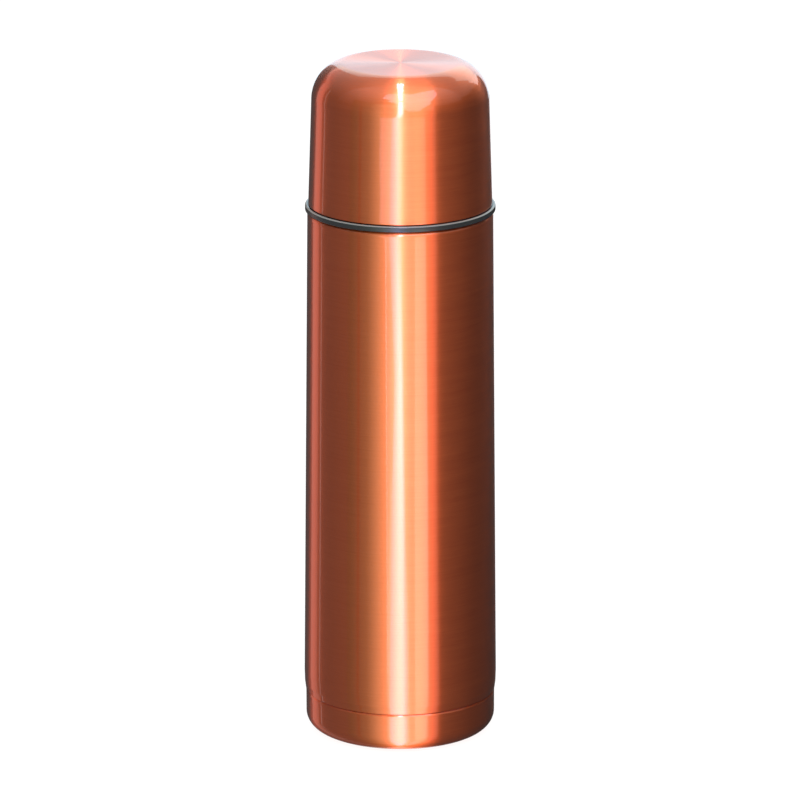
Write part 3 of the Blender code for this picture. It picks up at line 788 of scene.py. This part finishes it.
def panel(name, rows, tint=(1.0, 1.0, 1.0)):
    """A curved sheet of light round the flask, seen only in its reflections.

    A row is (height, distance, first bearing, last bearing, radiance there, radiance here), with
    bearing 0 on the camera's side and 90 on its right; the light fades evenly between the rows. A
    sheet that starts far below the floor's level closes in under the flask.
    """
    if rows[0][0] < -0.5:
        rows = [(-1.9, rows[0][1] * 0.35, *rows[0][2:])] + rows
    bm = bmesh.new()
    light = bm.verts.layers.float_color.new("light")
    steps = max(1, round(abs(rows[0][3] - rows[0][2]) / 6))
    lines = []
    for height, distance, first, last, there, here in rows:
        line = []
        for step in range(steps + 1):
            share = step / steps
            bearing = math.radians(first + (last - first) * share)
            vert = bm.verts.new((math.sin(bearing) * distance, -math.cos(bearing) * distance, height))
            vert[light] = (*(part * (there + (here - there) * share) for part in tint), 1.0)
            line.append(vert)
        lines.append(line)
    for lower, upper in zip(lines, lines[1:]):
        for step in range(steps):
            bm.faces.new([lower[step], lower[step + 1], upper[step + 1], upper[step]])
    lit = finished(name, bm)
    lit.data.materials.append(lamp_light)
    lit.visible_camera = False
    lit.visible_diffuse = False
    lit.visible_shadow = False


WARM = (1.0, 1.3, 1.05)
CREAM = (0.90, 0.95, 1.5)
ROSE = (1.0, 0.62, 0.55)
PALE_BLUE = (0.85, 1.13, 1.30)
LOW = -0.75                            # the foot of the panels that pass below the floor's level

# The key light: a broad panel in front, fading out to the left in three steps.
panel("key_panel", [(LOW, 0.90, -17, 44.5, 0.97, 0.82), (0.70, 0.90, -17, 44.5, 0.97, 0.82)])
for name, first, last, there, here in (("key_edge", -27, -17, 0.85, 1.0), ("key_fade", -40, -27, 0.38, 0.85),
                                       ("far_fade", -66, -40, 0.18, 0.38)):
    panel(name, [(height, 0.90, first, last, there, here) for height in (LOW, 0.70)], WARM)
panel("red_line", [(LOW, 0.89, -53, -50, 0.42, 0.34), (0.50, 0.89, -53, -50, 0.42, 0.34)], (1.0, 0.55, 0.5))

# Brighter sheets before it: they make the pale bands on each side of the core.
panel("front_sheet", [(LOW, 0.88, -16, 38, 1.9, 1.8), (-0.20, 0.88, -16, 36, 1.9, 1.8),
                      (-0.08, 0.88, -16, 34, 1.9, 1.8), (0.00, 0.88, -16, 34, 1.5, 1.5),
                      (0.10, 0.88, -16, 34, 1.5, 1.5)])
panel("low_sheet", [(LOW, 0.86, -12, 13, 3.3, 3.0), (-0.20, 0.86, -14, 10, 3.2, 3.0),
                    (-0.13, 0.86, -12, 4, 3.2, 2.2)])
panel("side_sheet", [(LOW, 0.86, 20, 30, 2.6, 2.6), (-0.14, 0.86, 17, 33, 3.2, 3.0),
                     (0.02, 0.86, 18, 30, 3.0, 2.4)])
panel("red_edge", [(LOW, 0.85, 35, 48, 1.7, 1.2), (-0.22, 0.85, 34, 46.5, 1.6, 1.1),
                   (-0.12, 0.85, 33, 44, 1.5, 0.9), (0.00, 0.85, 31, 43.5, 1.3, 0.9),
                   (0.35, 0.85, 33, 43.5, 1.0, 0.8)], ROSE)

# The core: a bright strip with soft sides, given as height, distance, the bearings where it starts, is
# full, starts to fall and ends, and its radiance at its left side, its middle and its right side.
core = [(LOW, 0.79, -13, 2, 5, 10, 3.6, 4.8, 2.5), (-0.20, 0.79, -12, 1.5, 4, 9, 3.4, 5, 2.5),
        (-0.12, 0.79, -10, 0, 2.5, 6, 3.0, 6, 2), (-0.06, 0.79, -7, -1, 1, 4, 2.5, 6.5, 2),
        (0.02, 0.79, -14, -8, -5, 1, 3, 4.2, 1.5), (0.08, 0.79, -12, -6, -3, 3, 3, 4, 1.5),
        (0.16, 0.79, -6, -2, 0, 4, 2, 6, 1.5), (0.30, 0.79, -4, -1, 1.5, 4.5, 2, 10, 2),
        (0.85, 0.77, -4, -1.5, 2, 5, 2, 11, 2)]
panel("core_left", [(*row[:2], row[2], row[3], row[6], row[7]) for row in core], CREAM)
panel("core_middle", [(*row[:2], row[3], row[4], row[7], row[7]) for row in core], CREAM)
panel("core_right", [(*row[:2], row[4], row[5], row[7], row[8]) for row in core], CREAM)
panel("core_over", [(0.85, 0.77, -2.6, 3.2, 11, 11), (1.08, 0.50, -4.5, 4.9, 11, 11),
                    (1.14, 0.20, -12, 12.5, 11, 11), (1.15, 0.036, -90, 90, 11, 11),
                    (1.15, 0.20, -170, 170, 11, 11)], CREAM)

# Thin lines and patches on the left: beside the core, and on the flask's far left side.
panel("cup_glow", [(-0.01, 0.81, -17, -8, 1.8, 3.0), (0.03, 0.81, -23, -8, 2.2, 3.2),
                   (0.08, 0.81, -26, -8, 2.2, 3.0), (0.13, 0.81, -22, -8, 1.2, 2.0)])
panel("front_line", [(-0.20, 0.77, -15.2, -14.2, 4, 4), (-0.06, 0.77, -17, -16, 4, 4),
                     (0.01, 0.77, -18, -16.6, 4, 4), (0.055, 0.77, -26, -24, 3, 3)])
panel("left_strip", [(LOW, 1.0, -136, -119, 0.62, 0.58), (-0.10, 1.0, -136, -119, 0.80, 0.72),
                     (0.62, 1.0, -136, -119, 0.80, 0.72)], ROSE)
panel("left_bar", [(0.60, 1.0, -170, -120, 1.0, 0.7), (0.70, 1.0, -170, -120, 1.0, 0.7)], ROSE)
panel("left_line", [(LOW, 1.0, -113.5, -111.8, 0.9, 0.9), (0.60, 1.0, -113.5, -111.8, 0.8, 0.8)])

# The bright sail high up in front, and the backdrop and the ceiling that the cup's top shows.
panel("top_sail", [(0.36, 0.83, 12, 24, 2.6, 2.6), (0.46, 0.82, 4, 30, 3.0, 3.0),
                   (0.52, 0.82, 6, 34, 3.0, 3.0), (0.60, 0.81, -3, 42, 3.4, 3.4),
                   (0.68, 0.81, -1, 42, 3.4, 3.4), (0.81, 0.80, -18, 50, 3.8, 3.8),
                   (0.90, 0.80, -15, 56, 3.8, 3.8), (1.02, 0.80, -28, 62, 3.8, 3.8),
                   (1.20, 0.60, -24, 74, 3.8, 3.8)], (0.9, 0.9, 1.1))
panel("low_backdrop", [(-0.60, 0.70, 170, 190, 0.8, 0.8), (0.09, 0.70, 170, 190, 0.8, 0.8)])
panel("backdrop", [(0.09, 0.70, 157, 192, 1.1, 1.1), (0.45, 0.70, 152, 192, 1.2, 1.2)], PALE_BLUE)
panel("high_backdrop", [(0.45, 0.70, 136, 192, 1.75, 1.4), (0.90, 0.70, 128, 198, 1.6, 1.2)], (0.9, 1.1, 1.1))
panel("back_wing", [(0.40, 0.72, 134, 156, 1.9, 1.9), (0.62, 0.72, 128, 156, 1.9, 1.9)])
panel("ceiling_front", [(0.53, 1.10, -90, 90, 0.25, 0.32), (0.85, 1.05, -90, 90, 0.40, 0.75),
                        (1.19, 0.95, -90, 90, 0.75, 1.2), (1.45, 0.70, -90, 90, 1.1, 1.4),
                        (1.65, 0.25, -90, 90, 1.1, 1.1), (1.70, 0.01, -90, 90, 1.0, 1.0)])
panel("ceiling_back", [(0.60, 1.10, 90, 270, 0.32, 0.20), (0.85, 1.05, 90, 270, 0.60, 0.34),
                       (1.19, 0.95, 90, 270, 0.65, 0.50), (1.45, 0.70, 90, 270, 0.7, 0.6),
                       (1.65, 0.25, 90, 270, 0.9, 0.9), (1.70, 0.01, 90, 270, 1.0, 1.0)])

ground = bmesh.new()
bmesh.ops.create_grid(ground, x_segments=1, y_segments=1, size=12)
floor = finished("floor", ground)
floor.data.materials.append(Finish("pale_floor").done(
    Base_Color=(0.2, 0.2, 0.2), Roughness=0.9, Specular_IOR_Level=0.0,
    Emission_Color=(1.0, 1.0, 1.0), Emission_Strength=0.9))
floor.visible_glossy = False
floor.visible_shadow = False

# Round the panels the flask reflects a dim room, dimmer to its right and behind; everything else is
# lit evenly by a white one.
MEAN_DIMNESS = 0.155
BRIGHTER_TOWARDS = (-0.05, -0.10, 0.0)

air_of_room = bpy.data.worlds.new("room")
scene.world = air_of_room
air_of_room.use_nodes = True
air_of_room.cycles.sampling_method = "NONE"
room = air_of_room.node_tree
paths = room.nodes.new("ShaderNodeLightPath")
direction = room.nodes.new("ShaderNodeTexCoord")
slope = room.nodes.new("ShaderNodeVectorMath")
slope.operation = "DOT_PRODUCT"
slope.inputs[1].default_value = BRIGHTER_TOWARDS
dim = room.nodes.new("ShaderNodeMath")
dim.inputs[1].default_value = MEAN_DIMNESS
choose = room.nodes.new("ShaderNodeMix")
choose.inputs[2].default_value = 1.0
room.links.new(direction.outputs["Generated"], slope.inputs[0])
room.links.new(slope.outputs["Value"], dim.inputs[0])
room.links.new(paths.outputs["Is Glossy Ray"], choose.inputs[0])
room.links.new(dim.outputs[0], choose.inputs[3])
room.links.new(choose.outputs[0], room.nodes["Background"].inputs["Color"])
room.nodes["Background"].inputs["Strength"].default_value = 1.0

LENS_DISTANCE = 2.5
ELEVATION = math.radians(16.08)
AIM = Vector((-0.0001, 0, 0.12325))
FRAME_WIDTH = 0.2893

camera = bpy.data.objects.new("camera", bpy.data.cameras.new("camera"))
scene.collection.objects.link(camera)
camera.location = AIM + LENS_DISTANCE * Vector((0, -math.cos(ELEVATION), math.sin(ELEVATION)))
camera.rotation_euler = (math.pi / 2 - ELEVATION, 0, 0)
camera.data.sensor_width = 36
camera.data.lens = camera.data.sensor_width * LENS_DISTANCE / FRAME_WIDTH
camera.data.clip_end = 100
scene.camera = camera
